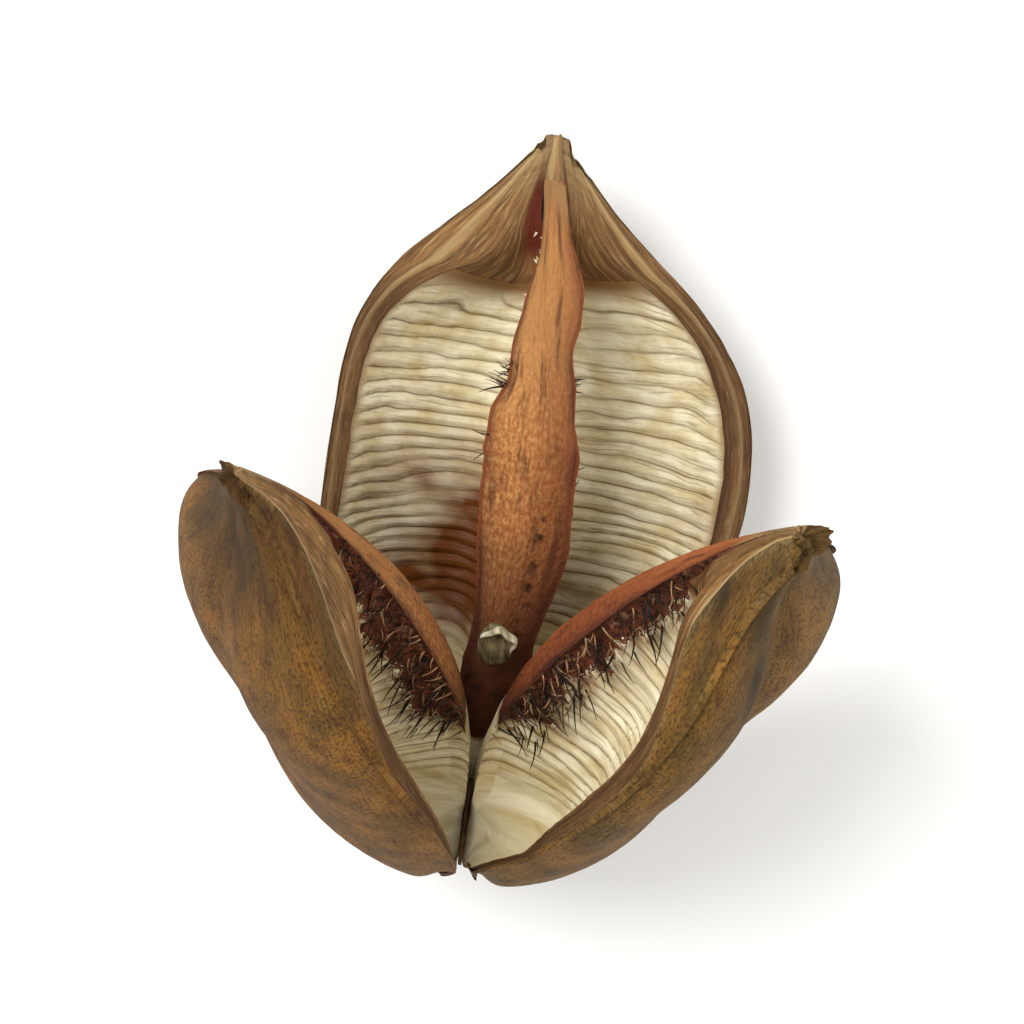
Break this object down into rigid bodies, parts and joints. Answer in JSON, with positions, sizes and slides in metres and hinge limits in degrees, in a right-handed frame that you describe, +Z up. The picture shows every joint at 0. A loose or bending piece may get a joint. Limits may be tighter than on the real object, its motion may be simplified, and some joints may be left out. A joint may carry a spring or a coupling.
{
  "type": "dried seed pod",
  "caption": "dried woody seed capsule split open into boat-shaped valves, each with a cream ribbed lining, a bristly septum and an orange central strip",
  "frame": {"origin": "on the table surface under the middle of the pod's bounding box", "axes": "+Z up from the table, +Y from the stalk end toward the back valve's tip, +X to the right when the open side is seen from above with the back valve's tip at the top"},
  "size_m": [0.0644, 0.0736, 0.059],
  "materials": {
    "husk": "dry, fibrous and matt",
    "stalk": "dry and matt",
    "seed_husk": "dry and papery"
  },
  "bodies": {
    "root": {"valve_back": "husk", "valve_left": "husk", "valve_right": "husk", "stalk": "stalk", "seed_remnant": "seed_husk"}
  },
  "joints": []
}
